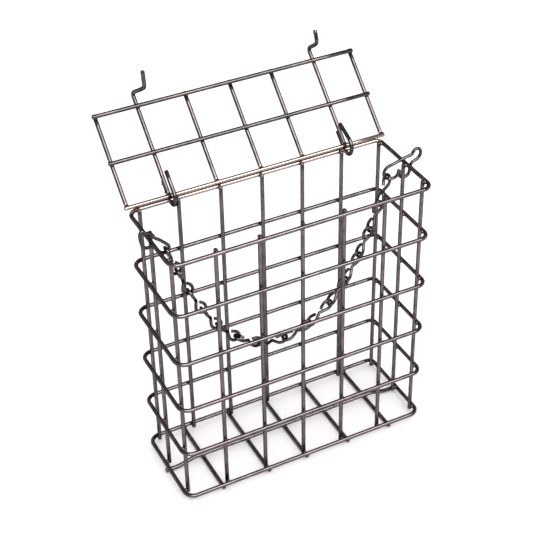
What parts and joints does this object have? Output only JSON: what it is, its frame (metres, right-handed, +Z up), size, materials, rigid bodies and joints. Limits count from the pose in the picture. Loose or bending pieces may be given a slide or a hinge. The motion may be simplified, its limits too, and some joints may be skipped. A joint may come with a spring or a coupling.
{
  "type": "hanging wire bird feeder",
  "caption": "Rectangular hanging wire basket for a suet cake, with a hinged wire lid held by sprung hooks and a jack chain across the top.",
  "frame": {"origin": "middle of the basket's base, on the underside of the middle base cross wire, where it meets a table", "axes": "+Z up, +X along the wide side towards the chain's hook, -Y out of the front face that the lid's hooks close over; the lid is stored open"},
  "size_m": [0.1474, 0.089, 0.1948],
  "materials": {
    "basket_wire": "semi-gloss dark lacquer on welded steel wire",
    "lid_wire": "gloss dark lacquer on welded steel wire",
    "chain_wire": "semi-gloss dark lacquer on bent steel wire"
  },
  "bodies": {
    "basket": {"ring_1": "basket_wire", "ring_2": "basket_wire", "ring_3": "basket_wire", "ring_4": "basket_wire", "ring_5": "basket_wire", "ring_6": "basket_wire", "front_upright_1": "basket_wire", "front_upright_2": "basket_wire", "front_upright_3": "basket_wire", "front_upright_4": "basket_wire", "front_upright_5": "basket_wire", "rear_upright_1": "basket_wire", "rear_upright_2": "basket_wire", "rear_upright_3": "basket_wire", "rear_upright_4": "basket_wire", "rear_upright_5": "basket_wire", "side_upright_left_1": "basket_wire", "side_upright_left_2": "basket_wire", "side_upright_left_3": "basket_wire", "side_upright_right_1": "basket_wire", "side_upright_right_2": "basket_wire", "side_upright_right_3": "basket_wire", "base_cross_1": "basket_wire", "base_cross_2": "basket_wire", "base_cross_3": "basket_wire", "base_cross_4": "basket_wire", "base_cross_5": "basket_wire", "base_long_wire": "basket_wire", "chain_hook": "chain_wire"},
    "lid": {"lid_hinge_wire": "lid_wire", "lid_mid_wire": "lid_wire", "lid_front_wire": "lid_wire", "lid_rod_1": "lid_wire", "lid_rod_2": "lid_wire", "lid_rod_3": "lid_wire", "lid_rod_4": "lid_wire", "lid_rod_5": "lid_wire", "latch_rod_left": "lid_wire", "latch_rod_right": "lid_wire", "hinge_clip_left": "lid_wire", "hinge_clip_right": "lid_wire"},
    "chain": {"chain_end_link": "chain_wire", "chain_link_01": "chain_wire", "chain_link_02": "chain_wire", "chain_link_03": "chain_wire", "chain_link_04": "chain_wire", "chain_link_05": "chain_wire", "chain_link_06": "chain_wire", "chain_link_07": "chain_wire", "chain_link_08": "chain_wire", "chain_link_09": "chain_wire", "chain_link_10": "chain_wire", "chain_link_11": "chain_wire", "chain_link_12": "chain_wire", "chain_link_13": "chain_wire", "chain_link_14": "chain_wire"}
  },
  "joints": [
    {"name": "lid_hinge", "type": "hinge", "parent": "basket", "child": "lid", "pos_m": [0, 0.0244, 0.14612], "axis": [1, 0, 0], "range_deg": [0, 134.19]},
    {"name": "chain_swing", "type": "hinge", "parent": "basket", "child": "chain", "pos_m": [-0.0665, 0, 0.14387], "axis": [0.9992, 0, -0.0405], "range_deg": [-8, 8]}
  ]
}
